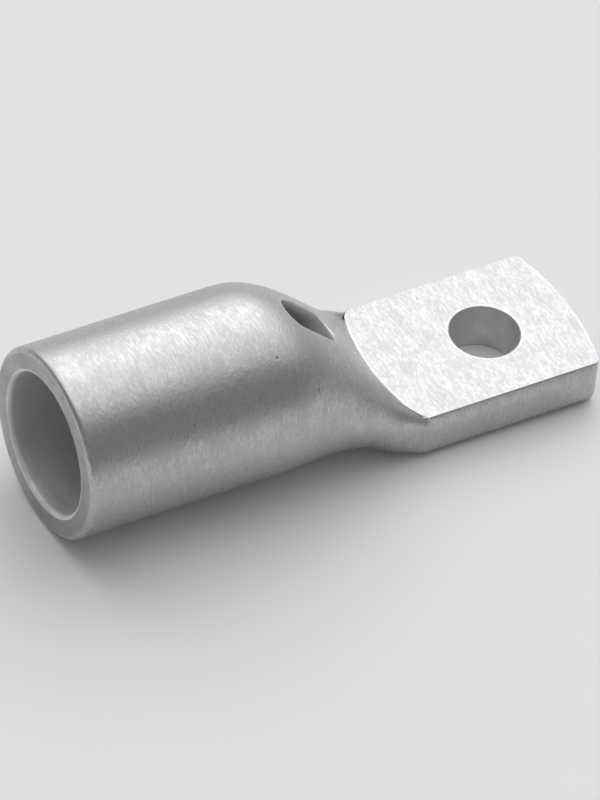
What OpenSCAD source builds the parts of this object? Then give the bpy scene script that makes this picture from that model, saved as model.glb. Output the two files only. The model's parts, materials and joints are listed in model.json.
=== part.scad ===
// Tubular cable lug: one length of copper tube with its far part pressed flat into a palm.
// The origin is the centre of the bolt hole on the palm's contact face.
// X runs from the mouth of the barrel to the end of the palm, Z is up.

/* [Barrel] */
// Outside diameter of the barrel
barrel_od = 29; // [26:0.5:34]
// Diameter of the bore that takes the conductor
bore_d = 21.5; // [16:0.25:22.5]
// Length of the round barrel, from the mouth to the shoulder
barrel_len = 31.5; // [24:0.5:60]
// Radius of the rolled outer edge at the mouth
mouth_round = 0.8; // [0.3:0.1:2]
// Depth of the lead-in that eases the bore's edge
lead_in = 0.8; // [0.4:0.1:3]
// Width of the lead-in, measured across the rim
lead_in_w = 0.6; // [0.2:0.05:0.8]

/* [Shoulder] */
// Length of the pressed shoulder, from the round barrel to the palm's crease
shoulder_len = 23.5; // [18:0.5:30]
// Steepness of the shoulder where it meets the palm, in degrees
shoulder_angle = 57; // [45:1:60]
// Radius, in plan, of the crease between the shoulder and the palm
crease_r = 35; // [25:0.5:80]
// Width of the sight hole, which stands square to the shoulder's slope
sight_d = 6.6; // [3:0.2:8]
// Amount by which pressing the shoulder has drawn the sight hole longer than it is wide
sight_draw = 5; // [1:0.25:6]
// Distance of the sight hole's centre from the palm's crease
sight_to_crease = 11.8; // [11:0.2:13]

/* [Palm] */
// Width of the palm's flat upper face
palm_w = 24.5; // [22:0.5:27]
// How far the palm's rounded sides stand out past the flat upper face
side_bulge = 0.7; // [0.3:0.1:1.2]
// Height of the slope between the flat upper face and the sides' widest line
side_slope_h = 2.8; // [2:0.1:3.4]
// Thickness of the palm, where both walls are pressed into one
palm_t = 8; // [6:0.25:9]
// Distance from the crease to the bolt hole's centre
crease_to_bolt = 19.5; // [12:0.5:30]
// Distance from the bolt hole's centre to the palm's end
bolt_to_end = 14.5; // [11:0.5:24]
// Diameter of the bolt hole
bolt_d = 10.5; // [5:0.25:13]
// Width of the break on the bolt hole's upper rim
bolt_break = 0.3; // [0.1:0.05:0.6]
// Radius, in plan, of the palm's curved end
end_r = 41; // [30:1:120]
// Radius, in plan, of the two corners at the palm's end
end_corner_r = 2; // [0.5:0.1:4]
// Radius, in plan, of the two corners at the crease
crease_corner_r = 1; // [0.5:0.1:3]
// Radius of the rolled edges along the palm's underside
under_edge_r = 2.2; // [1:0.1:2.5]
// Radius of the rolled lower edge at the palm's end
end_edge_r = 1.2; // [0.4:0.1:2]

/* [Hidden] */
$fn = 96;
tin = [0.74, 0.75, 0.76];
// Amounts by which cuts run past a face and by which joined solids reach into each other
over = 1;
lap = 0.02;
barrel_r = barrel_od / 2;
bore_r = bore_d / 2;
wall = barrel_r - bore_r;
flat_hw = palm_w / 2;
palm_hw = flat_hw + side_bulge;
crease_x = -crease_to_bolt;
neck_x = crease_x - shoulder_len;
mouth_x = neck_x - barrel_len;
// The palm's back edge starts just under the shoulder, so the crease is where the slope runs out
tuck = 0.25;
// Places along the shoulder, as shares of its length, where each change of section starts and ends
side_draw = [0.11, 0.6];
belly_drop = [0.12, 1.3];
lower_square = [0.67, 1.08];
upper_square = [0.8, 1.05];
plan_bow = [0.25, 1.0];
// Height of the widest line at the palm, and how square the section's halves get
belly_end = 4;
lower_power = 5.6;
upper_power = 4;
// Amount by which the shoulder's sides lie inside the palm's
side_inset = 0.06;
outer_points = 72;
inner_points = 40;
shoulder_rings = 28;
// Shares of the shoulder over which its skin eases from just inside the barrel to its full size
start_ease = [0, 0.1];
floor_ease = [0.6, 0.9];
// Size of a loft's buried first ring against its second
start_scale = 0.97;
// Half step for the ridge's steepness
probe = 0.005;
shoulder_end = 1.06;
cavity_rings = 18;
cavity_gap = 0.5;
// Reach of the sight hole's cut to each side of the slope, in wall thicknesses
sight_reach = 1.5;

// Smooth step from 0 at a to 1 at b
function ease(span, t) =
    let(u = max(0, min(1, (t - span[0]) / (span[1] - span[0]))))
    u * u * (3 - 2 * u);

// How far an arc of radius r has fallen away at the distance y from its crown
function sag(r, y) = r - sqrt(r * r - y * y);

// Height and steepness of the shoulder's ridge at the share t of its length
function ridge(t) =
    let(u = max(0, min(1, t)))
    let(h = 2 * pow(u, 3) - 3 * u * u + 1)
    let(run = shoulder_len * tan(shoulder_angle))
    h * barrel_od + (1 - h) * palm_t
    + (u * u - pow(u, 3)) * run - max(0, t - 1) * run;

function ridge_slope(t) = (ridge(t - probe) - ridge(t + probe)) / (2 * probe * shoulder_len);

// Half width and height of the widest line at the share t
function half_w(t) =
    barrel_r + (palm_hw - side_inset - barrel_r) * ease(side_draw, t);
function belly(t) = barrel_r + (belly_end - barrel_r) * ease(belly_drop, t);
function squareness(span, top, t) = 2 + (top - 2) * ease(span, t);

// One closed section, with its widest line at height c and halves as tall as up and down
function section(n, w, c, up, down, p_up, p_down, x, bow) = [
    for (i = [0 : n - 1])
        let(a = 360 * (i + 0.5) / n)
        let(p = sin(a) > 0 ? p_up : p_down)
        let(y = w * cos(a))
        let(rise = pow(1 - pow(abs(cos(a)), p), 1 / p))
        [x + bow * sag(crease_r, y), y, sin(a) > 0 ? c + up * rise : c - down * rise]
];

function outer_section(t) = section(
    outer_points,
    half_w(t) - lap * (1 - ease(start_ease, t)),
    belly(t),
    ridge(t) - belly(t) - lap * (1 - ease(start_ease, t)),
    belly(t) - lap * (1 - ease(start_ease, t)) - lap * ease(floor_ease, t),
    squareness(upper_square, upper_power, t),
    squareness(lower_square, lower_power, t),
    neck_x + t * shoulder_len,
    ease(plan_bow, t)
);

// The cavity keeps the tube's wall under the ridge and over the floor until the walls meet
function cavity_top(t) =
    max(wall + cavity_gap, ridge(t) - wall * sqrt(1 + pow(ridge_slope(t), 2)));
function cavity_belly(t) = (cavity_top(t) + wall) / 2;

function inner_section(t) = section(
    inner_points,
    half_w(t) - wall - lap,
    cavity_belly(t),
    cavity_top(t) - cavity_belly(t) - lap,
    cavity_belly(t) - wall - lap,
    squareness(upper_square, upper_power, t),
    squareness(lower_square, lower_power, t),
    neck_x + t * shoulder_len,
    ease(plan_bow, t)
);

function scaled_section(pts, x, k) = [
    for (p = pts) [x, p[1] * k, barrel_r + (p[2] - barrel_r) * k]
];

// Skins a list of sections into one closed solid
module loft(rings) {
    n = len(rings[0]);
    last = len(rings) - 1;
    polyhedron(
        points = [for (r = rings) each r],
        faces = concat(
            [[for (i = [0 : n - 1]) i]],
            [
                for (k = [0 : last - 1], i = [0 : n - 1])
                    let(j = (i + 1) % n)
                    [k * n + i, (k + 1) * n + i, (k + 1) * n + j]
            ],
            [
                for (k = [0 : last - 1], i = [0 : n - 1])
                    let(j = (i + 1) % n)
                    [k * n + i, (k + 1) * n + j, k * n + j]
            ],
            [[for (i = [n - 1 : -1 : 0]) last * n + i]]
        )
    );
}

// Turns a profile drawn as radius and length about the barrel's axis
module along_barrel() {
    translate([mouth_x, 0, barrel_r])
        rotate([0, 90, 0])
            rotate_extrude()
                children();
}

module barrel() {
    along_barrel()
        difference() {
            square([barrel_r, barrel_len]);
            difference() {
                translate([barrel_r - mouth_round, -over])
                    square([mouth_round + over, mouth_round + over]);
                translate([barrel_r - mouth_round, mouth_round])
                    circle(mouth_round);
            }
        }
}

module shoulder() {
    step = shoulder_end / shoulder_rings;
    loft(concat(
        [scaled_section(outer_section(0), neck_x - over, start_scale)],
        [for (k = [0 : shoulder_rings]) outer_section(k * step)]
    ));
}

// Plan of the palm: two arcs across a strip, with rounded corners
module corner_cut(arc_r, arc_x, r) {
    cy = palm_hw - r;
    cx = sqrt(pow(arc_r - r, 2) - cy * cy);
    for (side = [-1, 1])
        difference() {
            polygon([
                [arc_x + cx, side * cy],
                [arc_x + cx, side * (palm_hw + over)],
                [arc_x + arc_r + over, side * (palm_hw + over)],
                [arc_x + (arc_r + over) * cx / (arc_r - r), side * cy * (arc_r + over) / (arc_r - r)]
            ]);
            translate([arc_x + cx, side * cy])
                circle(r);
        }
}

module palm_plan() {
    end_x = bolt_to_end - end_r;
    back_x = crease_x - tuck + crease_r;
    difference() {
        intersection() {
            translate([crease_x - over, -palm_hw])
                square([crease_to_bolt + bolt_to_end + 2 * over, 2 * palm_hw]);
            translate([end_x, 0])
                circle(end_r);
            translate([back_x, 0])
                circle(crease_r);
        }
        corner_cut(end_r, end_x, end_corner_r);
        translate([back_x, 0])
            mirror([1, 0])
                corner_cut(crease_r, 0, crease_corner_r);
    }
}

// Half of a palm section with its lower corner rolled to radius r
module rolled_half(half, r) {
    difference() {
        square([half, palm_t]);
        difference() {
            translate([half - r, -over])
                square([r + over, r + over]);
            translate([half - r, r])
                circle(r);
        }
    }
}

// Half of the palm's cross section: a flat top, a sloped and rounded side and a rolled lower corner
module palm_half() {
    slope_r = (pow(side_bulge, 2) + pow(side_slope_h, 2)) / (2 * side_bulge);
    difference() {
        rolled_half(palm_hw, under_edge_r);
        difference() {
            translate([flat_hw, palm_t - side_slope_h])
                square([side_bulge + over, side_slope_h + over]);
            translate([palm_hw - slope_r, palm_t - side_slope_h])
                circle(slope_r);
        }
    }
}

module palm() {
    intersection() {
        linear_extrude(palm_t)
            palm_plan();
        translate([crease_x - over, 0, 0])
            rotate([90, 0, 90])
                linear_extrude(crease_to_bolt + bolt_to_end + 2 * over)
                    union() {
                        palm_half();
                        mirror([1, 0])
                            palm_half();
                    }
        translate([bolt_to_end - end_r, 0, 0])
            rotate_extrude()
                rolled_half(end_r, end_edge_r);
    }
}

module bore() {
    translate([mouth_x - over, 0, barrel_r])
        rotate([0, 90, 0])
            cylinder(r = bore_r, h = barrel_len + over);
    translate([mouth_x, 0, barrel_r])
        rotate([0, 90, 0])
            cylinder(r1 = bore_r + lead_in_w, r2 = bore_r, h = lead_in);
}

module cavity() {
    step = 1 / cavity_rings;
    loft(concat(
        [scaled_section(inner_section(0), neck_x - over, start_scale)],
        [for (k = [0 : cavity_rings - 2]) inner_section(k * step)]
    ));
}

module sight_hole() {
    t = 1 - sight_to_crease / shoulder_len;
    reach = wall * sight_reach;
    translate([crease_x - sight_to_crease, 0, ridge(t)])
        rotate([0, atan(ridge_slope(t)), 0])
            translate([0, 0, -reach]) {
                for (side = [-1, 1])
                    translate([side * sight_draw / 2, 0, 0])
                        cylinder(d = sight_d, h = 2 * reach);
                translate([-sight_draw / 2, -sight_d / 2, 0])
                    cube([sight_draw, sight_d, 2 * reach]);
            }
}

module bolt_hole() {
    translate([0, 0, -over])
        cylinder(d = bolt_d, h = palm_t + 2 * over);
    translate([0, 0, palm_t - bolt_break])
        cylinder(d1 = bolt_d, d2 = bolt_d + 2 * bolt_break, h = bolt_break);
}

module lug() {
    color(tin)
        difference() {
            union() {
                barrel();
                shoulder();
                palm();
            }
            bore();
            cavity();
            sight_hole();
            bolt_hole();
        }
}

lug();
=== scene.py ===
import json
import math

import bmesh
import bpy
from bpy.props import FloatProperty, FloatVectorProperty, PointerProperty
from mathutils import Matrix, Vector


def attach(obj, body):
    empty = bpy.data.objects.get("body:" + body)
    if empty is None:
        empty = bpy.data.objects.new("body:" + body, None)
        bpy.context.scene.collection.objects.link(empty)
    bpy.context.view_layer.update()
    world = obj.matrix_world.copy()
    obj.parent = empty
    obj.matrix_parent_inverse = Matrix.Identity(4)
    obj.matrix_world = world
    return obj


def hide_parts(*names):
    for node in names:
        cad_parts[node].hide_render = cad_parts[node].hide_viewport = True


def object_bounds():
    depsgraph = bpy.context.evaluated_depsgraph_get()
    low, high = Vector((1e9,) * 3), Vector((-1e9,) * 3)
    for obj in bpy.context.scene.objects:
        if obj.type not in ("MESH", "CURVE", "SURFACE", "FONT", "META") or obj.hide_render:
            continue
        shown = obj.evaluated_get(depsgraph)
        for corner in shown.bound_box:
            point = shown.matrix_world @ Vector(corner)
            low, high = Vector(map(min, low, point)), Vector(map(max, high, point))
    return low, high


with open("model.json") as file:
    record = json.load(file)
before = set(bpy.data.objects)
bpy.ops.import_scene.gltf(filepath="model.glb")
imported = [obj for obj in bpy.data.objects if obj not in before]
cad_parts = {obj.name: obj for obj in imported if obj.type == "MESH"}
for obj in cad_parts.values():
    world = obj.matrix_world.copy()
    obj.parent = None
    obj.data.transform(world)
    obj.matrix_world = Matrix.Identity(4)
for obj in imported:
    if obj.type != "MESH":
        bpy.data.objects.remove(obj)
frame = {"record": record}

bl_info = {
    "name": "Tubular cable lug",
    "version": (1, 0, 0),
    "blender": (4, 5, 0),
    "location": "View3D > Sidebar > Lug",
    "description": "Finishes a pressed tubular cable lug and sets it on a pale studio floor",
    "category": "Object",
}

LOWEST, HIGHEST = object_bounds()
MM = 0.001

# Sizes that the frame gives: the lug's box and the radii of its two bores
mounts = {mount["name"]: mount for mount in frame["record"]["mounts"]}
MOUTH_X = LOWEST[0]
PALM_END = HIGHEST[0]
BARREL_R = (HIGHEST[2] - LOWEST[2]) / 2
BORE_R = mounts["barrel_bore"]["dims"]["r_mm"] * MM
BOLT_R = mounts["bolt_hole"]["dims"]["r_mm"] * MM
WALL = BARREL_R - BORE_R

# Steps along half of a ring's chain, and down its side's slope, plain part and rolled edge
HALF_CHAIN = 30
CHAIN = 2 * HALF_CHAIN + 1
SLOPE_STEPS, PLAIN_STEPS, ROLL_STEPS = 5, 2, 7
SIDE = SLOPE_STEPS + PLAIN_STEPS + ROLL_STEPS
RING = 2 * (CHAIN + SIDE)

# Steps of the skin's parts along the lug
MOUTH_STEPS = 6
BARREL_STEPS = 32
SHOULDER_RINGS = 46
APPROACH_RINGS = 3
PALM_RINGS = 56
LEAD_STEPS = 4
BORE_STEPS = 24
CAVITY_RINGS = 44

# Places along the shoulder, as shares of its length, where each change of section starts and ends
SIDE_DRAW = (0.11, 0.6)
BELLY_DROP = (0.12, 1.3)
LOWER_SQUARE = (0.67, 1.08)
UPPER_SQUARE = (0.8, 1.05)
PLAN_BOW = (0.25, 1.0)

# How square the halves of a section are at the barrel, and get above and below
ROUND_POWER, UPPER_POWER, LOWER_POWER = 2, 4, 5.6
# How far the shoulder's sides lie inside the palm's, and the height of the cavity's slit
SIDE_INSET = 0.06 * MM
CAVITY_GAP = 0.5 * MM
# Half step for the ridge's steepness, as a share of the shoulder's length
PROBE = 0.005
# Shares of the shoulder at which its last ring and the cavity's last ring lie
SHOULDER_END = 0.97
CAVITY_END = 0.94
# How much of the way from the last ring to the crease the approach rings cover
APPROACH_END = 0.9
# Shares at which the shoulder starts to run into the palm's sides, above and below, and ends
EDGE_RUN, UNDER_RUN, RUN_END = 0.86, 0.72, 1.06
# Points in from the edge that run into the sides, and that leave the slope near the crease
EDGE_POINTS, CORNER_POINTS = 5, 3
# Step down the side from which the start of the run is the one below
UNDER_STEP = 7
# Share of even spacing in the points across a ring's chains
EVEN_SHARE = 0.7
SMALLEST_CORNER = 0.3 * MM

# Half depth and half width, in rings and points, of the patches that become holes
BOLT_PATCH = (8, 9)
SIGHT_PATCHES = ((8, 6), (8, 7))
# Patch sizes up to which the points round a hole are drawn towards it
BOLT_REACH = 1.9
SIGHT_REACH = 2.2
# How soon, from its middle, the sight hole has its full draw
DRAW_RISE = 2.5
# Rounds for finding a place on the shoulder from above, and square to its slope
PLAN_ROUNDS, SLOPE_ROUNDS = 4, 8

RIM_SEGMENTS = 3
JOIN_DISTANCE = 0.001 * MM
# Depth from the mouth within which a face belongs to its sawn end, which takes the painted shade
SAWN_DEPTH = 0.01 * MM

# Material slots of the skin, whose outside has slot 0; the inside's slot holds a lighter copy of
# the plate, painted light in the bore and the holes
# The sawn end's slot holds a darker copy of the plate, painted shade on the mouth's face
INSIDE_PAINTED_LIGHT, SAWN_PAINTED_SHADE = 1, 2

# Grains a metre of each noise in the finish, and its scale round the tube against along it
FINE_MARKS = (4200, 0.3)
LONG_MARKS = (2600, 0.22)
PATCHES = (420, 0.6)
PITS = (900, 0.5)
GRAIN = (7000, 1)
# Noise values between which each mask rises
MARK_SPREAD = (0.36, 0.66)
PATCH_SPREAD = (0.3, 0.7)
PIT_SPREAD = (0.76, 0.82)
# Share of the long marks, and the heights of the marks, grain and patches against a pit's depth
LONG_SHARE = 0.45
MARK_HEIGHT, GRAIN_HEIGHT, PATCH_HEIGHT = 0.6, 0.12, 0.3
# Colours of worn rims and of pits, and how far they replace the plate's own
RIM_COLOUR = (0.65, 0.655, 0.66, 1.0)
PIT_COLOUR = (0.15, 0.15, 0.15, 1.0)
RIM_SHARE, PIT_SHARE = 0.5, 0.5
# How much darker and lighter than its colour the plate gets
DARK_SHADE, LIGHT_SHADE = 0.9, 1.06
# Shades between which the roughness falls, how far it strays, and how much smoother rims are
SHADE_SPREAD = (0.2, 0.8)
ROUGHER, SMOOTHER, RIM_POLISH = 0.08, 0.07, 0.06

# The tent's brightest direction, and how near to it, as a cosine, its light starts and is full
TENT_AXIS = (0.3, 0.45, 0.84)
TENT_SPREAD = (0.4, 0.92)
BACK_DIRECTION = (0.41, 0.58, 0.7)
BOX_DISTANCE = 1.5
BOX_SIZE = 1.0

# The camera that was fitted to the photo
CAMERA_PLACE = (-0.56758917, -0.76589311, 0.93131439)
CAMERA_RIGHT = (0.86833317, -0.48546081, 0.1016135)
CAMERA_UP = (0.2822642, 0.65214916, 0.70358254)
CAMERA_BACK = (-0.40782891, -0.5822622, 0.70331096)
CAMERA_LENS = 405.0
CAMERA_SENSOR = 36.0
CAMERA_CLIP = (0.05, 50.0)


def length(label, text, millimetres):
    return FloatProperty(name=label, description=text, default=millimetres * MM, unit="LENGTH")


class TubeSettings(bpy.types.PropertyGroup):
    shoulder_length: length("Shoulder length", "From the round barrel to the palm's crease", 23.5)
    shoulder_angle: FloatProperty(
        name="Shoulder angle",
        description="Steepness of the shoulder where it meets the palm",
        default=math.radians(57),
        subtype="ANGLE",
    )
    crease: length("Crease", "From the bolt hole's centre back to the palm's crease", 19.5)
    crease_radius: length("Crease radius", "Radius, in plan, of the crease", 35)
    crease_corner: length("Crease corner", "Radius of the flat face's corners at the crease", 1)
    palm_thickness: length("Palm thickness", "Thickness of the pressed palm", 8)
    flat_width: length("Flat width", "Width of the palm's flat upper face", 24.5)
    side_bulge: length("Side bulge", "How far the palm's sides stand out past the flat face", 0.7)
    side_slope: length("Side slope", "Height of the slope above the sides' widest line", 2.8)
    under_edge: length("Under edge", "Radius of the rolled edges along the underside", 2.2)
    end_edge: length("End edge", "Radius of the rolled lower edge at the palm's end", 1.2)
    end_radius: length("End radius", "Radius, in plan, of the palm's end", 41)
    end_corner: length("End corner", "Radius, in plan, of the corners at the palm's end", 1.8)
    belly_height: length("Belly height", "Height of the shoulder's widest line at the palm", 4)
    mouth_round: length("Mouth rounding", "Radius of the mouth's rolled outer edge", 0.8)
    lead_in: length("Lead-in", "Depth of the bore's lead-in", 0.8)
    lead_width: length("Lead-in width", "Width of the lead-in across the rim", 0.6)
    rim: length("Rim", "Width of the soft break around the palm's flat face", 0.2)
    bolt_rim: length("Bolt rim", "Width of the break on the bolt hole's rims", 0.3)
    sight_rim: length("Sight rim", "Width of the break on the sight hole's rim", 0.25)
    sight_place: length("Sight place", "From the crease back to the sight hole's centre", 11.8)
    sight_width: length("Sight width", "Width of the sight hole", 6.6)
    sight_draw: length("Sight draw", "How much longer than wide the sight hole is", 5)


class StageSettings(bpy.types.PropertyGroup):
    floor_size: FloatProperty(
        name="Floor size",
        description="Side of the square floor",
        default=6.0,
        unit="LENGTH",
    )
    floor_colour: FloatVectorProperty(
        name="Floor colour",
        description="Colour of the pale floor",
        default=(0.88, 0.88, 0.88),
        size=3,
        subtype="COLOR",
        min=0.0,
        max=1.0,
    )
    dark_level: FloatProperty(
        name="Dark level",
        description="Brightness of the tent low down in front",
        default=0.27,
        min=0.0,
    )
    bright_level: FloatProperty(
        name="Bright level",
        description="Brightness of the tent overhead",
        default=1.43,
        min=0.0,
    )
    box_level: FloatProperty(
        name="Box level",
        description="Brightness of the soft box behind",
        default=0.65,
        min=0.0,
    )


class FinishSettings(bpy.types.PropertyGroup):
    tin_colour: FloatVectorProperty(
        name="Tin colour",
        description="Colour of the tin plate",
        default=(0.49, 0.494, 0.498),
        size=3,
        subtype="COLOR",
        min=0.0,
        max=1.0,
    )
    roughness: FloatProperty(
        name="Roughness",
        description="Roughness of the tumbled plate",
        default=0.33,
        min=0.0,
        max=1.0,
    )
    # A lighter copy of the plate's colour: painted light in the bore and the holes
    inside_painted_light_colour: FloatVectorProperty(
        name="Inside colour with painted light",
        description="Colour of the plate in the bore and in the holes",
        default=(0.74, 0.745, 0.75),
        size=3,
        subtype="COLOR",
        min=0.0,
        max=1.0,
    )
    inside_roughness: FloatProperty(
        name="Inside roughness",
        description="Roughness of the plate in the bore and in the holes",
        default=0.6,
        min=0.0,
        max=1.0,
    )
    # A darker copy of the plate's colour: painted shade on the mouth's sawn face
    sawn_painted_shade_colour: FloatVectorProperty(
        name="Sawn colour with painted shade",
        description="Colour of the plate over the sawn face of the mouth",
        default=(0.38, 0.383, 0.386),
        size=3,
        subtype="COLOR",
        min=0.0,
        max=1.0,
    )
    mark_depth: FloatProperty(
        name="Mark depth",
        description="Depth of the marks that tumbling has left",
        default=0.03 * MM,
        unit="LENGTH",
        precision=6,
    )


def ease(start, end, value):
    """Smooth step from 0 at start to 1 at end"""
    share = max(0.0, min(1.0, (value - start) / (end - start)))
    return share * share * (3 - 2 * share)


def mix(a, b, share):
    return a + (b - a) * share


def sag(radius, y):
    """How far an arc has fallen away at the distance y from its crown"""
    return radius - math.sqrt(radius * radius - y * y)


class Shoulder:
    """The pressed part of the tube: its sections, from the barrel at 0 to the crease at 1"""

    def __init__(self, tube):
        self.tube = tube
        self.crease_x = -tube.crease
        self.neck_x = self.crease_x - tube.shoulder_length
        self.palm_half = tube.flat_width / 2 + tube.side_bulge

    def ridge(self, share):
        """Height of the tube's top line"""
        s = max(0.0, min(1.0, share))
        tall = 2 * s ** 3 - 3 * s * s + 1
        run = self.tube.shoulder_length * math.tan(self.tube.shoulder_angle)
        palm = self.tube.palm_thickness
        past = max(0.0, share - 1)
        return tall * 2 * BARREL_R + (1 - tall) * palm + (s * s - s ** 3 - past) * run

    def slope(self, share):
        drop = self.ridge(share - PROBE) - self.ridge(share + PROBE)
        return drop / (2 * PROBE * self.tube.shoulder_length)

    def section(self, share, inside):
        """Half width, middle height, rise, fall and the powers of the two halves"""
        half = mix(BARREL_R, self.palm_half - SIDE_INSET, ease(*SIDE_DRAW, share))
        middle = mix(BARREL_R, self.tube.belly_height, ease(*BELLY_DROP, share))
        top = self.ridge(share)
        floor = 0.0
        if inside:
            half -= WALL
            floor = WALL
            thick = WALL * math.sqrt(1 + self.slope(share) ** 2)
            top = max(WALL + CAVITY_GAP, top - thick)
            middle = (top + floor) / 2
        upper = mix(ROUND_POWER, UPPER_POWER, ease(*UPPER_SQUARE, share))
        lower = mix(ROUND_POWER, LOWER_POWER, ease(*LOWER_SQUARE, share))
        return half, middle, top - middle, middle - floor, upper, lower

    def bow(self, share, y):
        return ease(*PLAN_BOW, share) * sag(self.tube.crease_radius, y)

    def surface(self, x, y, inside):
        """Height of the upper skin over a point of the plan"""
        share = (x - self.neck_x) / self.tube.shoulder_length
        for _ in range(PLAN_ROUNDS):
            share = (x - self.neck_x - self.bow(share, y)) / self.tube.shoulder_length
        half, middle, rise, _, upper, _ = self.section(share, inside)
        return middle + rise * (1 - min(1.0, abs(y / half)) ** upper) ** (1 / upper)


def chain_share(step):
    """Place of a chain's point across its half width, a little closer set towards the edges"""
    u = step / HALF_CHAIN
    return EVEN_SHARE * u + (1 - EVEN_SHARE) * math.sin(u * math.pi / 2)


def side_profile(tube):
    """Inset and height of the points down a palm's side, from the flat face to the underside"""
    bulge, drop, roll = tube.side_bulge, tube.side_slope, tube.under_edge
    radius = (bulge ** 2 + drop ** 2) / (2 * bulge)
    top = tube.palm_thickness
    points = []
    for k in range(SLOPE_STEPS + 1):
        turn = math.asin(drop / radius) * (1 - k / SLOPE_STEPS)
        points.append((radius * (1 - math.cos(turn)), top - drop + radius * math.sin(turn)))
    for k in range(1, PLAIN_STEPS + 1):
        points.append((0.0, mix(top - drop, roll, k / (PLAIN_STEPS + 1))))
    for k in range(ROLL_STEPS + 1):
        turn = math.pi / 2 * k / ROLL_STEPS
        points.append((roll * (1 - math.cos(turn)), roll * (1 - math.sin(turn))))
    return points


def rounded_outline(half, arc, corner, y_share):
    """Point and outward direction on a plan outline: one arc across a strip, corners rounded.

    The arc's crown is at 0 and it falls away towards negative x.
    """
    side = 1 if y_share > 0 else -1
    cy = half - corner
    cx = math.sqrt((arc - corner) ** 2 - cy * cy) - arc
    reach = math.asin(cy / (arc - corner))
    arc_length = arc * reach
    corner_length = corner * (math.pi / 2 - reach)
    along = abs(y_share) * (arc_length + corner_length)
    if along <= arc_length:
        turn = along / arc
        out = Vector((math.cos(turn), side * math.sin(turn)))
        return Vector((out.x * arc - arc, out.y * arc)), out
    turn = reach + (along - arc_length) / corner
    out = Vector((math.cos(turn), side * math.sin(turn)))
    return Vector((cx + corner * out.x, side * cy + corner * out.y)), out


def ring_layout():
    """Chain place or side step of each point round a ring, from the near upper corner"""
    layout = [("upper", j - HALF_CHAIN) for j in range(CHAIN)]
    layout += [("far", k) for k in range(1, SIDE + 1)]
    layout += [("lower", HALF_CHAIN - j) for j in range(CHAIN)]
    layout += [("near", SIDE + 1 - k) for k in range(1, SIDE + 1)]
    return layout


LAYOUT = ring_layout()


def across(step):
    return math.copysign(chain_share(abs(step)), step)


def palm_outline(tube, at_end, y_share, inset, end_inset):
    """Plan point of the palm's outline at its crease or its end, drawn in by its insets"""
    half = tube.flat_width / 2 + tube.side_bulge - inset
    corner, arc = tube.end_corner, tube.end_radius
    if not at_end:
        corner, arc = tube.crease_corner + tube.side_bulge, tube.crease_radius
    place, out = rounded_outline(half, arc, max(SMALLEST_CORNER, corner - inset), y_share)
    if at_end:
        return Vector((PALM_END - end_inset + place.x, place.y)), out
    return Vector((-tube.crease - place.x, place.y)), Vector((-out.x, out.y))


def end_level(tube, y_share, level, profile):
    """Point on the palm's end face at one level of the side's profile"""
    inset, height = profile[level]
    low = max(0.0, tube.end_edge - height)
    end_inset = tube.end_edge - math.sqrt(tube.end_edge ** 2 - low * low)
    place, _ = palm_outline(tube, True, y_share, inset, end_inset)
    return Vector((place.x, place.y, height))


def flat_end_point(tube, at_end, part, step, profile):
    """Point of the ring round the palm at its crease or at its end"""
    last = len(profile) - 1
    level = {"upper": 0, "lower": last}.get(part, step)
    y_share = across(step) if part in ("upper", "lower") else {"near": -1.0, "far": 1.0}[part]
    if at_end:
        return end_level(tube, y_share, level, profile)
    inset, height = profile[level]
    if part == "upper":
        place, _ = palm_outline(tube, False, y_share, inset, 0.0)
        return Vector((place.x, place.y, height))
    corner, _ = palm_outline(tube, False, 1.0, profile[0][0], 0.0)
    half = tube.flat_width / 2 + tube.side_bulge - inset
    bow = (corner.x + tube.crease) * y_share * y_share
    return Vector((bow - tube.crease, half * y_share, height))


def shoulder_point(shoulder, profile, index, share, inside):
    """Point of a ring round the shoulder, on its section's outline"""
    half, middle, rise, fall, upper, lower = shoulder.section(share, inside)
    part, step = LAYOUT[index]
    turn = math.radians(360 / RING) * (index - HALF_CHAIN)
    around = Vector((math.sin(turn), math.cos(turn)))
    flat = flat_end_point(shoulder.tube, False, part, step, profile)
    _, end_middle, end_rise, end_fall, _, _ = shoulder.section(1.0, False)
    high = flat.z - end_middle
    square = Vector((flat.y / shoulder.palm_half, high / (end_rise if high > 0 else end_fall)))
    aim = around.lerp(square, ease(0.0, 1.0, share))
    power = upper if aim.y > 0 else lower
    grow = (abs(aim.x) ** power + abs(aim.y) ** power) ** (-1 / power)
    y = half * aim.x * grow
    z = middle + (rise if aim.y > 0 else fall) * aim.y * grow
    x = shoulder.neck_x + share * shoulder.tube.shoulder_length + shoulder.bow(share, y)
    point = Vector((x, y, z))
    if not inside and part == "upper":
        edge = ease(HALF_CHAIN - EDGE_POINTS, HALF_CHAIN, abs(step))
        point = point.lerp(flat, edge * ease(EDGE_RUN, RUN_END, share))
    elif not inside:
        level = step if part in ("near", "far") else SIDE + 1
        start = mix(EDGE_RUN, UNDER_RUN, ease(0, UNDER_STEP, level))
        point = point.lerp(flat, ease(start, RUN_END, share))
    return point


def next_ring(made, ring, places):
    """Extrude a ring of vertices and put the new ring's vertices in their places"""
    pairs = zip(ring, ring[1:] + ring[:1]) if len(ring) == RING else zip(ring, ring[1:])
    edges = [made.edges.get(pair) for pair in pairs]
    grown = bmesh.ops.extrude_edge_only(made, edges=edges)["geom"]
    fresh = {vert for vert in grown if isinstance(vert, bmesh.types.BMVert)}
    new = [next(e.other_vert(v) for e in v.link_edges if e.other_vert(v) in fresh) for v in ring]
    for vert, place in zip(new, places):
        vert.co = place
    return new


def round_places(x, radius):
    places = []
    for index in range(RING):
        turn = math.radians(360 / RING) * (index - HALF_CHAIN)
        places.append(Vector((x, radius * math.sin(turn), BARREL_R + radius * math.cos(turn))))
    return places


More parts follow.
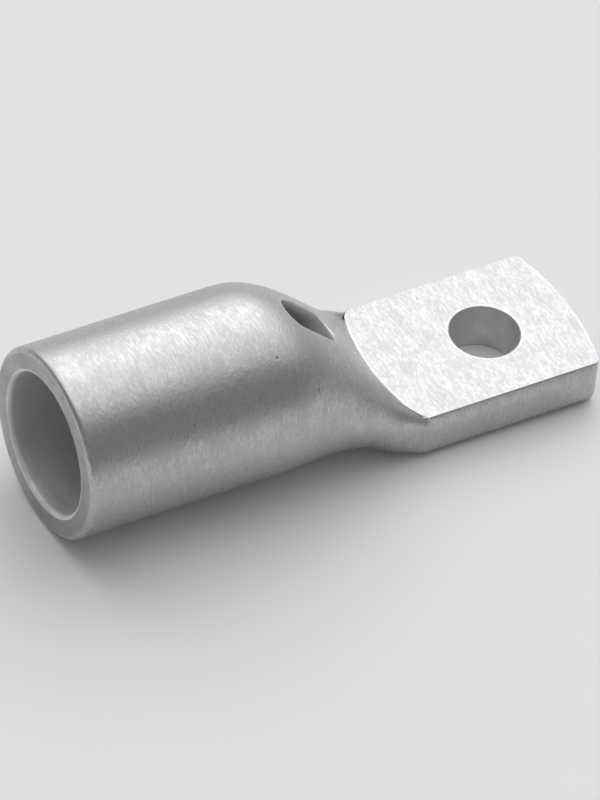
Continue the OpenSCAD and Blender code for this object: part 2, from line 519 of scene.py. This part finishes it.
def outer_skin(made, ring, shoulder, profile):
    """Grow the outside from the mouth's rim to the palm's end; returns the rings"""
    tube = shoulder.tube
    rings = []
    edge = tube.mouth_round
    for k in range(MOUTH_STEPS + 1):
        turn = math.pi / 2 * k / MOUTH_STEPS
        x = MOUTH_X + edge * (1 - math.cos(turn))
        ring = next_ring(made, ring, round_places(x, BARREL_R - edge + edge * math.sin(turn)))
    for k in range(1, BARREL_STEPS):
        x = mix(MOUTH_X + edge, shoulder.neck_x, k / BARREL_STEPS)
        ring = next_ring(made, ring, round_places(x, BARREL_R))
    for k in range(SHOULDER_RINGS):
        share = SHOULDER_END * k / (SHOULDER_RINGS - 1)
        places = [shoulder_point(shoulder, profile, i, share, False) for i in range(RING)]
        ring = next_ring(made, ring, places)
        rings.append(ring)
    last = [vert.co.copy() for vert in ring]
    for k in range(1, APPROACH_RINGS + 1):
        places = []
        for start, (part, step) in zip(last, LAYOUT):
            flat = flat_end_point(tube, False, part, step, profile)
            place = start.lerp(flat, APPROACH_END * k / APPROACH_RINGS)
            if part == "upper":
                height = shoulder.surface(place.x, place.y, False)
                corner = ease(HALF_CHAIN - CORNER_POINTS, HALF_CHAIN, abs(step))
                place.z = mix(height, place.z, corner)
            places.append(place)
        ring = next_ring(made, ring, places)
    for k in range(PALM_RINGS + 1):
        places = []
        for part, step in LAYOUT:
            start = flat_end_point(tube, False, part, step, profile)
            end = flat_end_point(tube, True, part, step, profile)
            places.append(start.lerp(end, k / PALM_RINGS))
        ring = next_ring(made, ring, places)
        rings.append(ring)
    return rings


def inner_skin(made, ring, shoulder, profile):
    """Grow the bore and the tapering cavity from the mouth's rim; returns the cavity's rings"""
    tube = shoulder.tube
    outer_count = len(made.faces)
    for k in range(LEAD_STEPS + 1):
        turn = math.pi / 2 * k / LEAD_STEPS
        x = MOUTH_X + tube.lead_in * (1 - math.cos(turn))
        radius = BORE_R + tube.lead_width * (1 - math.sin(turn))
        ring = next_ring(made, ring, round_places(x, radius))
    for k in range(1, BORE_STEPS):
        x = mix(MOUTH_X + tube.lead_in, shoulder.neck_x, k / BORE_STEPS)
        ring = next_ring(made, ring, round_places(x, BORE_R))
    rings = []
    for k in range(CAVITY_RINGS):
        share = CAVITY_END * k / (CAVITY_RINGS - 1)
        places = [shoulder_point(shoulder, profile, i, share, True) for i in range(RING)]
        ring = next_ring(made, ring, places)
        rings.append(ring)
    edges = [made.edges.get(pair) for pair in zip(ring, ring[1:] + ring[:1])]
    bmesh.ops.contextual_create(made, geom=edges)
    made.faces.ensure_lookup_table()
    # The bore and the cavity take the lighter copy of the plate, painted light
    for face in made.faces[outer_count:]:
        face.material_index = INSIDE_PAINTED_LIGHT
    return rings


def end_face(made, ring, tube, profile):
    """Close the palm's end by drawing its upper edge down to the lower one"""
    chain = ring[:CHAIN]
    for level in range(1, len(profile)):
        steps = range(-HALF_CHAIN, HALF_CHAIN + 1)
        places = [end_level(tube, across(step), level, profile) for step in steps]
        chain = next_ring(made, chain, places)


def disc_place(a, b):
    """Where a point of a square patch lies once the patch's squares are pressed round"""
    size = max(abs(a), abs(b))
    if size == 0:
        return 0.0, 0.0, 0.0
    p, q = a / size, b / size
    return p * math.sqrt(1 - q * q / 2), q * math.sqrt(1 - p * p / 2), size


def patch_rim(rings, centre, deep, wide):
    """The vertices round a patch of the upper chain, in order"""
    lo, hi = HALF_CHAIN - wide, HALF_CHAIN + wide
    a, b = centre - deep, centre + deep
    rim = [rings[a][j] for j in range(lo, hi)]
    rim += [rings[k][hi] for k in range(a, b)]
    rim += [rings[b][j] for j in range(hi, lo, -1)]
    rim += [rings[k][lo] for k in range(b, a, -1)]
    return rim


def open_patch(made, rim, rings, centre, deep, wide):
    """Delete a patch's faces and return its rim's edges"""
    inner = set()
    for k in range(centre - deep + 1, centre + deep):
        for j in range(HALF_CHAIN - wide + 1, HALF_CHAIN + wide):
            inner.add(rings[k][j])
    bmesh.ops.delete(made, geom=list(inner), context="VERTS")
    return [made.edges.get(pair) for pair in zip(rim, rim[1:] + rim[:1])]


def bolt_hole(made, upper, lower):
    """Press a patch of the palm round, above and below, and join the two rims"""
    deep, wide = BOLT_PATCH
    xs = [ring[HALF_CHAIN].co.x for ring in upper]
    centre = min(range(len(xs)), key=lambda k: abs(xs[k]))
    loops = []
    for rings in (upper, lower):
        places = {}
        for k, ring in enumerate(rings):
            for j in range(CHAIN):
                a, b = (k - centre) / deep, (j - HALF_CHAIN) / wide
                p, q, size = disc_place(a, b)
                if size < 1 or size > BOLT_REACH:
                    continue
                target = Vector((BOLT_R * size * p, BOLT_R * size * q, ring[j].co.z))
                places[ring[j]] = ring[j].co.lerp(target, 1 - ease(1.0, BOLT_REACH, size))
        for vert, place in places.items():
            vert.co = place
        rim = patch_rim(rings, centre, deep, wide)
        loops.append(open_patch(made, rim, rings, centre, deep, wide))
    wall = bmesh.ops.bridge_loops(made, edges=loops[0] + loops[1])
    # The bolt hole's wall takes the lighter copy of the plate, painted light
    for face in wall["faces"]:
        face.material_index = INSIDE_PAINTED_LIGHT
    return loops


def sight_hole(made, shoulder, outer, inner):
    """Press a patch of the shoulder and of the cavity to the sight hole's oval and join them"""
    tube = shoulder.tube
    share = 1 - tube.sight_place / tube.shoulder_length
    centre_point = Vector((shoulder.crease_x - tube.sight_place, 0, shoulder.ridge(share)))
    tilt = math.atan(shoulder.slope(share))
    along = Vector((math.cos(tilt), 0, -math.sin(tilt)))
    out = Vector((math.sin(tilt), 0, math.cos(tilt)))
    radius = tube.sight_width / 2
    loops = []
    for rings, inside, (deep, wide) in zip((outer, inner), (False, True), SIGHT_PATCHES):
        lengths = [(ring[HALF_CHAIN].co - centre_point).dot(along) for ring in rings]
        centre = min(range(len(lengths)), key=lambda k: abs(lengths[k]))
        places = {}
        for k, ring in enumerate(rings):
            for j in range(CHAIN):
                a, b = (k - centre) / deep, (j - HALF_CHAIN) / wide
                p, q, size = disc_place(a, b)
                if size < 1 or size > SIGHT_REACH:
                    continue
                stretch = tube.sight_draw / 2 * max(-1.0, min(1.0, DRAW_RISE * p))
                far = 1 - ease(1.0, SIGHT_REACH, size)
                held = ring[j].co - centre_point
                u = mix(held.dot(along), size * (radius * p + stretch), far)
                v = mix(held.y, size * radius * q, far)
                w = held.dot(out)
                for _ in range(SLOPE_ROUNDS):
                    place = centre_point + along * u + out * w + Vector((0, v, 0))
                    w += (shoulder.surface(place.x, place.y, inside) - place.z) * out.z
                places[ring[j]] = centre_point + along * u + out * w + Vector((0, v, 0))
        for vert, place in places.items():
            vert.co = place
        rim = patch_rim(rings, centre, deep, wide)
        loops.append(open_patch(made, rim, rings, centre, deep, wide))
    wall = bmesh.ops.bridge_loops(made, edges=loops[0] + loops[1])
    # The sight hole's wall takes the lighter copy of the plate, painted light
    for face in wall["faces"]:
        face.material_index = INSIDE_PAINTED_LIGHT
    return loops


def soften(made, edges, width):
    """Break sharp edges and mark the new faces' corners as a worn rim"""
    broken = bmesh.ops.bevel(
        made,
        geom=edges,
        offset=width,
        offset_type="OFFSET",
        segments=RIM_SEGMENTS,
        profile=0.5,
        affect="EDGES",
        clamp_overlap=True,
        material=-1,
    )
    rim = made.verts.layers.float["rim"]
    for face in broken["faces"]:
        for vert in face.verts:
            vert[rim] = 1.0


def pressed_tube(tube):
    """The whole lug as one skin, from a ring in the middle of the mouth's rim"""
    shoulder = Shoulder(tube)
    profile = side_profile(tube)
    made = bmesh.new()
    made.verts.layers.float.new("rim")
    middle = (BARREL_R - tube.mouth_round + BORE_R + tube.lead_width) / 2
    ring = bmesh.ops.create_circle(made, cap_ends=False, radius=middle, segments=RING)["verts"]
    for vert, place in zip(ring, round_places(MOUTH_X, middle)):
        vert.co = place
    outer = outer_skin(made, ring, shoulder, profile)
    inner = inner_skin(made, ring, shoulder, profile)
    end_face(made, outer[-1], tube, profile)

    palm = outer[SHOULDER_RINGS:]
    rim_pairs = list(zip(palm[0][:CHAIN], palm[0][1:CHAIN]))
    rim_pairs += list(zip(palm[-1][:CHAIN], palm[-1][1:CHAIN]))
    for j in (0, CHAIN - 1):
        rim_pairs += [(a[j], b[j]) for a, b in zip(palm, palm[1:])]

    lower = [list(reversed(ring[CHAIN + SIDE : 2 * CHAIN + SIDE])) for ring in palm]
    bolt_rims = bolt_hole(made, palm, lower)
    sight_rims = sight_hole(made, shoulder, outer[:SHOULDER_RINGS], inner)
    soften(made, bolt_rims[0] + bolt_rims[1], tube.bolt_rim)
    soften(made, sight_rims[0], tube.sight_rim)
    soften(made, [made.edges.get(pair) for pair in rim_pairs], tube.rim)
    bmesh.ops.remove_doubles(made, verts=made.verts, dist=JOIN_DISTANCE)
    bmesh.ops.recalc_face_normals(made, faces=made.faces)
    for face in made.faces:
        face.smooth = True
        # Faces at the mouth's sawn end take the darker copy of the plate, painted shade
        if max(vert.co.x for vert in face.verts) < MOUTH_X + SAWN_DEPTH:
            face.material_index = SAWN_PAINTED_SHADE
    return made


def add_node(tree, kind, inputs=None, **settings):
    """Add a node, set it up and link or fill the inputs that are named or numbered"""
    made = tree.nodes.new(kind)
    for name, value in settings.items():
        setattr(made, name, value)
    for name, value in (inputs or {}).items():
        if isinstance(value, bpy.types.NodeSocket):
            tree.links.new(value, made.inputs[name])
        else:
            made.inputs[name].default_value = value
    return made


def noise(tree, place, kind, detail, shift=(0, 0, 0)):
    """One kind of noise, drawn out round the tube"""
    grains, stretch = kind
    mapping = add_node(
        tree,
        "ShaderNodeMapping",
        {"Vector": place, "Scale": (1, stretch, stretch), "Location": shift},
    )
    return add_node(
        tree,
        "ShaderNodeTexNoise",
        {"Vector": mapping.outputs["Vector"], "Scale": grains, "Detail": detail, "Roughness": 0.6},
    ).outputs["Fac"]


def spread(tree, value, low, high, start=0.0, end=1.0):
    """Map a value from low and high to start and end, smoothly and clamped"""
    return add_node(
        tree,
        "ShaderNodeMapRange",
        {"Value": value, "From Min": low, "From Max": high, "To Min": start, "To Max": end},
        interpolation_type="SMOOTHSTEP",
    ).outputs["Result"]


def math_node(tree, operation, first, second):
    made = add_node(tree, "ShaderNodeMath", {0: first, 1: second}, operation=operation)
    return made.outputs["Value"]


def mixed_values(tree, share, first, second):
    made = add_node(
        tree, "ShaderNodeMix", {"Factor": share, 2: first, 3: second}, data_type="FLOAT"
    )
    return made.outputs[0]


def mixed_colours(tree, share, first, second):
    made = add_node(
        tree, "ShaderNodeMix", {"Factor": share, 6: first, 7: second}, data_type="RGBA"
    )
    return made.outputs[2]


def tumble_marks():
    """Short marks round the tube, broad patches and small pits, as tumbling leaves them"""
    tree = bpy.data.node_groups.new("tumble_marks", "ShaderNodeTree")
    for label in ("Marks", "Patches", "Pits", "Height"):
        tree.interface.new_socket(label, in_out="OUTPUT", socket_type="NodeSocketFloat")
    place = add_node(tree, "ShaderNodeTexCoord").outputs["Object"]
    fine = noise(tree, place, FINE_MARKS, 2.0)
    long = noise(tree, place, LONG_MARKS, 2.0, (0.3, 0.1, 0.2))
    patches = noise(tree, place, PATCHES, 2.0, (0.1, 0.4, 0.7))
    pits = noise(tree, place, PITS, 1.0, (0.6, 0.2, 0.9))
    grain = noise(tree, place, GRAIN, 1.0)
    sharp = spread(tree, mixed_values(tree, LONG_SHARE, fine, long), *MARK_SPREAD)
    pit_mask = spread(tree, pits, *PIT_SPREAD)
    height = math_node(tree, "MULTIPLY", sharp, MARK_HEIGHT)
    for part, share in ((grain, GRAIN_HEIGHT), (patches, PATCH_HEIGHT)):
        height = math_node(tree, "ADD", height, math_node(tree, "MULTIPLY", part, share))
    add_node(
        tree,
        "NodeGroupOutput",
        {
            "Marks": sharp,
            "Patches": spread(tree, patches, *PATCH_SPREAD),
            "Pits": pit_mask,
            "Height": math_node(tree, "SUBTRACT", height, pit_mask),
        },
    )
    return tree


def tin_finish(name, group, colour, roughness, depth, patch_share):
    """Tumbled tin plate, with polished rims where the piece's rim attribute says so"""
    material = bpy.data.materials.new(name)
    material.use_nodes = True
    tree = material.node_tree
    tree.nodes.clear()
    marks = add_node(tree, "ShaderNodeGroup", node_tree=group).outputs
    rim = add_node(tree, "ShaderNodeAttribute", attribute_name="rim").outputs["Fac"]
    shade = mixed_values(tree, patch_share, marks["Marks"], marks["Patches"])
    dark = tuple(part * DARK_SHADE for part in colour)
    light = tuple(min(1.0, part * LIGHT_SHADE) for part in colour)
    tint = mixed_colours(tree, shade, (*dark, 1.0), (*light, 1.0))
    worn = mixed_colours(tree, math_node(tree, "MULTIPLY", rim, RIM_SHARE), tint, RIM_COLOUR)
    pitting = math_node(tree, "MULTIPLY", marks["Pits"], PIT_SHARE)
    pitted = mixed_colours(tree, pitting, worn, PIT_COLOUR)
    dull = spread(tree, shade, *SHADE_SPREAD, roughness + ROUGHER, roughness - SMOOTHER)
    dull = math_node(tree, "SUBTRACT", dull, math_node(tree, "MULTIPLY", rim, RIM_POLISH))
    bump = add_node(
        tree, "ShaderNodeBump", {"Strength": 1.0, "Distance": depth, "Height": marks["Height"]}
    ).outputs["Normal"]
    shader = add_node(
        tree,
        "ShaderNodeBsdfPrincipled",
        {"Base Color": pitted, "Metallic": 1.0, "Roughness": dull, "Normal": bump},
    )
    add_node(tree, "ShaderNodeOutputMaterial", {"Surface": shader.outputs["BSDF"]})
    return material


class LUG_OT_pressed_tube(bpy.types.Operator):
    """Make the pressed tube of the lug in its tin plate"""

    bl_idname = "lug.pressed_tube"
    bl_label = "Pressed tube"

    def execute(self, context):
        made = pressed_tube(context.scene.lug_tube)
        mesh = bpy.data.meshes.new("pressed_tube")
        made.to_mesh(mesh)
        made.free()
        tube = bpy.data.objects.new("pressed_tube", mesh)
        context.scene.collection.objects.link(tube)
        finish = context.scene.lug_finish
        marks = tumble_marks()
        deep = finish.mark_depth
        plain, inner = finish.roughness, finish.inside_roughness
        # In the order of the slots: outside, inside with painted light in the bore and the holes,
        # and sawn with painted shade on the mouth's face
        for name, colour, roughness, depth, patch_share in (
            ("tin_plate_tumbled", finish.tin_colour, plain, deep, 0.3),
            ("tin_plate_inside_painted_light", finish.inside_painted_light_colour, inner, deep / 2, 0.7),
            ("tin_plate_sawn_painted_shade", finish.sawn_painted_shade_colour, plain, deep, 0.5),
        ):
            mesh.materials.append(tin_finish(name, marks, colour, roughness, depth, patch_share))
        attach(tube, "root")
        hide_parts("lug")
        return {"FINISHED"}


def studio_light(context, stage):
    """A soft tent of light, bright overhead and behind and dark low down in front"""
    world = bpy.data.worlds.new("studio")
    context.scene.world = world
    world.use_nodes = True
    tree = world.node_tree
    coordinates = add_node(tree, "ShaderNodeTexCoord")
    facing = add_node(
        tree,
        "ShaderNodeVectorMath",
        {0: coordinates.outputs["Generated"], 1: Vector(TENT_AXIS).normalized()},
        operation="DOT_PRODUCT",
    )
    level = spread(
        tree, facing.outputs["Value"], *TENT_SPREAD, stage.dark_level, stage.bright_level
    )
    background = tree.nodes["Background"]
    background.inputs["Color"].default_value = (1.0, 1.0, 1.0, 1.0)
    tree.links.new(level, background.inputs["Strength"])


def soft_box(context, name, direction, level):
    """A square lamp that faces the lug and shines as brightly as a white card at this level"""
    data = bpy.data.lights.new(name, "AREA")
    data.shape = "SQUARE"
    data.size = BOX_SIZE
    data.energy = level * math.pi * BOX_SIZE * BOX_SIZE
    lamp = bpy.data.objects.new(name, data)
    lamp.location = Vector(direction).normalized() * BOX_DISTANCE
    lamp.rotation_mode = "QUATERNION"
    lamp.rotation_quaternion = (-lamp.location).to_track_quat("-Z", "Y")
    context.scene.collection.objects.link(lamp)


def pale_floor(colour):
    """The floor's plain material"""
    material = bpy.data.materials.new("pale_floor")
    material.use_nodes = True
    tree = material.node_tree
    tree.nodes.clear()
    shader = add_node(tree, "ShaderNodeBsdfDiffuse", {"Color": (*colour, 1.0)})
    add_node(tree, "ShaderNodeOutputMaterial", {"Surface": shader.outputs["BSDF"]})
    return material


class LUG_OT_stage(bpy.types.Operator):
    """Make the floor, the soft light and the camera"""

    bl_idname = "lug.stage"
    bl_label = "Stage"

    def execute(self, context):
        settings = context.scene.lug_stage
        made = bmesh.new()
        bmesh.ops.create_grid(made, x_segments=1, y_segments=1, size=settings.floor_size / 2)
        mesh = bpy.data.meshes.new("floor")
        made.to_mesh(mesh)
        made.free()
        floor = bpy.data.objects.new("floor", mesh)
        context.scene.collection.objects.link(floor)
        mesh.materials.append(pale_floor(settings.floor_colour))

        studio_light(context, settings)
        soft_box(context, "back_box", BACK_DIRECTION, settings.box_level)

        data = bpy.data.cameras.new("photo_camera")
        data.lens = CAMERA_LENS
        data.sensor_width = CAMERA_SENSOR
        data.clip_start, data.clip_end = CAMERA_CLIP
        camera = bpy.data.objects.new("photo_camera", data)
        camera.matrix_world = Matrix.Translation(CAMERA_PLACE) @ Matrix(
            (CAMERA_RIGHT, CAMERA_UP, CAMERA_BACK)
        ).transposed().to_4x4()
        context.scene.collection.objects.link(camera)
        context.scene.camera = camera
        context.scene.view_settings.view_transform = "Standard"
        return {"FINISHED"}


class LUG_PT_panel(bpy.types.Panel):
    bl_idname = "LUG_PT_panel"
    bl_label = "Cable lug"
    bl_space_type = "VIEW_3D"
    bl_region_type = "UI"
    bl_category = "Lug"

    def draw(self, context):
        layout = self.layout
        for group in (context.scene.lug_tube, context.scene.lug_finish, context.scene.lug_stage):
            for name in group.__annotations__:
                layout.prop(group, name)
        for operator in (LUG_OT_stage, LUG_OT_pressed_tube):
            layout.operator(operator.bl_idname)


CLASSES = (
    TubeSettings,
    FinishSettings,
    StageSettings,
    LUG_OT_pressed_tube,
    LUG_OT_stage,
    LUG_PT_panel,
)


def register():
    for cls in CLASSES:
        bpy.utils.register_class(cls)
    bpy.types.Scene.lug_tube = PointerProperty(type=TubeSettings)
    bpy.types.Scene.lug_finish = PointerProperty(type=FinishSettings)
    bpy.types.Scene.lug_stage = PointerProperty(type=StageSettings)


def unregister():
    del bpy.types.Scene.lug_stage
    del bpy.types.Scene.lug_finish
    del bpy.types.Scene.lug_tube
    for cls in reversed(CLASSES):
        bpy.utils.unregister_class(cls)


def main():
    register()
    bpy.ops.lug.stage()
    bpy.ops.lug.pressed_tube()


if __name__ == "__main__":
    main()
